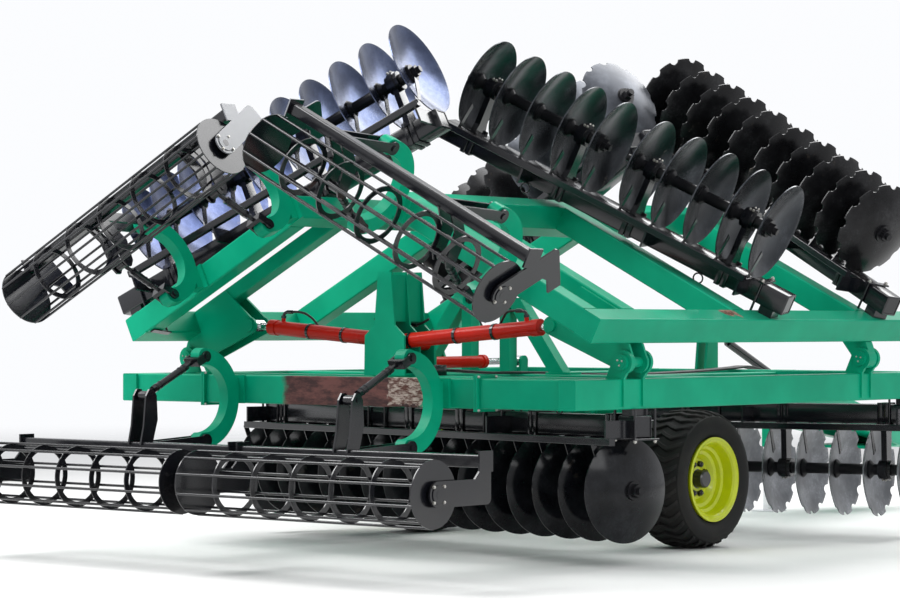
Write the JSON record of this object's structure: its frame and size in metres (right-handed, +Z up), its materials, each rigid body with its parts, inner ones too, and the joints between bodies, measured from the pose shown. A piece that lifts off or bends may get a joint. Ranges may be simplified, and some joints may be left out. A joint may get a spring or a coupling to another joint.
{
  "type": "trailed disc harrow",
  "caption": "Trailed disc harrow on two wheels, with both wings folded over its centre frame, rows of plain and notched discs and open cage rollers.",
  "frame": {"origin": "on the ground, in the middle of the machine's width and of its whole length from the rear rollers to the hitch eye", "axes": "+X to the machine's right, +Y forward to the hitch, +Z up"},
  "size_m": [4.8237, 9.3658, 3.757],
  "materials": {
    "green_paint": "gloss",
    "black_paint": "gloss",
    "disc_steel": "satin",
    "red_paint": "gloss",
    "yellow_paint": "gloss",
    "tyre": "matte",
    "bright_rod": "polished"
  },
  "bodies": {
    "chassis": {"side_beams": "green_paint", "cross_beams": "green_paint", "inner_rails": "green_paint", "hinge_brackets": "green_paint", "cylinder_tower": "green_paint", "frame_posts": "green_paint", "centre_gang_beams": "black_paint", "centre_standards": "black_paint", "centre_roller_arms": "green_paint", "centre_roller_frames": "black_paint", "centre_turnbuckles": "black_paint", "drawbar": "green_paint", "hitch_eye": "black_paint", "jack_sleeve": "green_paint"},
    "jack": {"jack_leg": "bright_rod"},
    "rockshaft": {"rockshaft": "green_paint"},
    "lift_barrel": {"lift_barrel": "red_paint"},
    "lift_rod": {"lift_rod": "bright_rod"},
    "wheel_right": {"tyre_right": "tyre", "rim_right": "yellow_paint"},
    "wheel_left": {"tyre_left": "tyre", "rim_left": "yellow_paint"},
    "centre_roller_right": {"centre_roller_right": "black_paint"},
    "centre_roller_left": {"centre_roller_left": "black_paint"},
    "gang_front_right": {"gang_front_right": "disc_steel"},
    "gang_front_left": {"gang_front_left": "disc_steel"},
    "gang_rear_right": {"gang_rear_right": "disc_steel"},
    "gang_rear_left": {"gang_rear_left": "disc_steel"},
    "wing_right": {"wing_rails_right": "green_paint", "wing_beams_right": "green_paint", "wing_cranks_right": "green_paint", "wing_gang_beams_right": "black_paint", "wing_standards_right": "black_paint", "wing_roller_arms_right": "green_paint", "wing_roller_frame_right": "black_paint", "wing_turnbuckles_right": "black_paint"},
    "wing_roller_right": {"wing_roller_right": "black_paint"},
    "wing_front_inner_right": {"wing_front_inner_right": "disc_steel"},
    "wing_front_outer_right": {"wing_front_outer_right": "disc_steel"},
    "wing_rear_inner_right": {"wing_rear_inner_right": "disc_steel"},
    "wing_rear_outer_right": {"wing_rear_outer_right": "disc_steel"},
    "fold_barrel_right": {"fold_barrel_right": "red_paint"},
    "fold_rod_right": {"fold_rod_right": "bright_rod"},
    "wing_left": {"wing_rails_left": "green_paint", "wing_beams_left": "green_paint", "wing_cranks_left": "green_paint", "wing_gang_beams_left": "black_paint", "wing_standards_left": "black_paint", "wing_roller_arms_left": "green_paint", "wing_roller_frame_left": "black_paint", "wing_turnbuckles_left": "black_paint"},
    "wing_roller_left": {"wing_roller_left": "black_paint"},
    "wing_front_inner_left": {"wing_front_inner_left": "disc_steel"},
    "wing_front_outer_left": {"wing_front_outer_left": "disc_steel"},
    "wing_rear_inner_left": {"wing_rear_inner_left": "disc_steel"},
    "wing_rear_outer_left": {"wing_rear_outer_left": "disc_steel"},
    "fold_barrel_left": {"fold_barrel_left": "red_paint"},
    "fold_rod_left": {"fold_rod_left": "bright_rod"}
  },
  "joints": [
    {"name": "jack_slide", "type": "slide", "parent": "chassis", "child": "jack", "axis": [0, 0, 1], "range_m": [0, 0.35]},
    {"name": "wheel_lift", "type": "hinge", "parent": "chassis", "child": "rockshaft", "pos_m": [0, -1.11, 0.95], "axis": [1, 0, 0], "range_deg": [0, 30]},
    {"name": "lift_barrel_swing", "type": "hinge", "parent": "chassis", "child": "lift_barrel", "pos_m": [0, -2.13, 1.345], "axis": [1, 0, 0], "range_deg": [-1.93, 0]},
    {"name": "lift_rod_slide", "type": "slide", "parent": "lift_barrel", "child": "lift_rod", "axis": [0, 1, 0.0047], "range_m": [-0.2074, 0]},
    {"name": "wheel_spin_right", "type": "hinge", "parent": "rockshaft", "child": "wheel_right", "pos_m": [1.28, -0.64, 0.5], "axis": [1, 0, 0], "continuous": true},
    {"name": "centre_roller_spin_right", "type": "hinge", "parent": "chassis", "child": "centre_roller_right", "pos_m": [1, -4.47, 0.59], "axis": [1, 0, 0], "continuous": true},
    {"name": "wheel_spin_left", "type": "hinge", "parent": "rockshaft", "child": "wheel_left", "pos_m": [-1.28, -0.64, 0.5], "axis": [1, 0, 0], "continuous": true},
    {"name": "centre_roller_spin_left", "type": "hinge", "parent": "chassis", "child": "centre_roller_left", "pos_m": [-1, -4.47, 0.59], "axis": [1, 0, 0], "continuous": true},
    {"name": "gang_spin_front_right", "type": "hinge", "parent": "chassis", "child": "gang_front_right", "pos_m": [0.97815, 0.89791, 0.515], "axis": [0.9781, 0.2079, 0], "continuous": true},
    {"name": "gang_spin_front_left", "type": "hinge", "parent": "chassis", "child": "gang_front_left", "pos_m": [-0.97815, 0.48209, 0.515], "axis": [0.9781, 0.2079, 0], "continuous": true},
    {"name": "gang_spin_rear_right", "type": "hinge", "parent": "chassis", "child": "gang_rear_right", "pos_m": [0.97815, -2.12791, 0.515], "axis": [0.9781, -0.2079, 0], "continuous": true},
    {"name": "gang_spin_rear_left", "type": "hinge", "parent": "chassis", "child": "gang_rear_left", "pos_m": [-0.97815, -1.71209, 0.515], "axis": [0.9781, -0.2079, 0], "continuous": true},
    {"name": "wing_fold_right", "type": "hinge", "parent": "chassis", "child": "wing_right", "pos_m": [2.1, -1.09, 1.37], "axis": [0, 1, 0], "range_deg": [0, 153]},
    {"name": "fold_barrel_swing_right", "type": "hinge", "parent": "chassis", "child": "fold_barrel_right", "pos_m": [-0.12, -2.47, 1.485], "axis": [0, 1, 0], "range_deg": [0, 5.57]},
    {"name": "fold_rod_slide_right", "type": "slide", "parent": "fold_barrel_right", "child": "fold_rod_right", "axis": [0.9969, 0, 0.0787], "range_m": [0, 1.2806]},
    {"name": "wing_roller_spin_right", "type": "hinge", "parent": "wing_right", "child": "wing_roller_right", "pos_m": [1.40421, -3.97, 2.20712], "axis": [-0.891, 0, 0.454], "continuous": true},
    {"name": "spin_wing_front_inner_right", "type": "hinge", "parent": "wing_right", "child": "wing_front_inner_right", "pos_m": [1.69045, 0.66446, 2.53827], "axis": [-0.8715, 0.2079, 0.4441], "continuous": true},
    {"name": "spin_wing_front_outer_right", "type": "hinge", "parent": "wing_right", "child": "wing_front_outer_right", "pos_m": [0.4703, 0.95554, 3.15996], "axis": [-0.8715, 0.2079, 0.4441], "continuous": true},
    {"name": "spin_wing_rear_inner_right", "type": "hinge", "parent": "wing_right", "child": "wing_rear_inner_right", "pos_m": [1.69045, -1.09446, 2.53827], "axis": [-0.8715, -0.2079, 0.4441], "continuous": true},
    {"name": "spin_wing_rear_outer_right", "type": "hinge", "parent": "wing_right", "child": "wing_rear_outer_right", "pos_m": [0.4703, -1.38554, 3.15996], "axis": [-0.8715, -0.2079, 0.4441], "continuous": true},
    {"name": "wing_fold_left", "type": "hinge", "parent": "chassis", "child": "wing_left", "pos_m": [-2.1, -1.09, 1.37], "axis": [0, -1, 0], "range_deg": [0, 153]},
    {"name": "fold_barrel_swing_left", "type": "hinge", "parent": "chassis", "child": "fold_barrel_left", "pos_m": [0.12, -2.31, 1.485], "axis": [0, -1, 0], "range_deg": [0, 5.57]},
    {"name": "fold_rod_slide_left", "type": "slide", "parent": "fold_barrel_left", "child": "fold_rod_left", "axis": [-0.9969, 0, 0.0787], "range_m": [0, 1.2806]},
    {"name": "wing_roller_spin_left", "type": "hinge", "parent": "wing_left", "child": "wing_roller_left", "pos_m": [-1.40421, -3.97, 2.20712], "axis": [-0.891, 0, -0.454], "continuous": true},
    {"name": "spin_wing_front_inner_left", "type": "hinge", "parent": "wing_left", "child": "wing_front_inner_left", "pos_m": [-1.69045, 0.69554, 2.53827], "axis": [-0.8715, 0.2079, -0.4441], "continuous": true},
    {"name": "spin_wing_front_outer_left", "type": "hinge", "parent": "wing_left", "child": "wing_front_outer_left", "pos_m": [-0.4703, 0.40446, 3.15996], "axis": [-0.8715, 0.2079, -0.4441], "continuous": true},
    {"name": "spin_wing_rear_inner_left", "type": "hinge", "parent": "wing_left", "child": "wing_rear_inner_left", "pos_m": [-1.69045, -2.68554, 2.53827], "axis": [-0.8715, -0.2079, -0.4441], "continuous": true},
    {"name": "spin_wing_rear_outer_left", "type": "hinge", "parent": "wing_left", "child": "wing_rear_outer_left", "pos_m": [-0.4703, -2.39446, 3.15996], "axis": [-0.8715, -0.2079, -0.4441], "continuous": true}
  ],
  "couplings": [
    {"joint": "lift_barrel_swing", "follows": "wheel_lift", "ratio": -0.061099},
    {"joint": "lift_rod_slide", "follows": "wheel_lift", "m_per_rad": -0.39417},
    {"joint": "fold_barrel_swing_right", "follows": "wing_fold_right", "ratio": 0.035755},
    {"joint": "fold_rod_slide_right", "follows": "wing_fold_right", "m_per_rad": 0.47918},
    {"joint": "fold_barrel_swing_left", "follows": "wing_fold_left", "ratio": 0.035755},
    {"joint": "fold_rod_slide_left", "follows": "wing_fold_left", "m_per_rad": 0.47918}
  ]
}
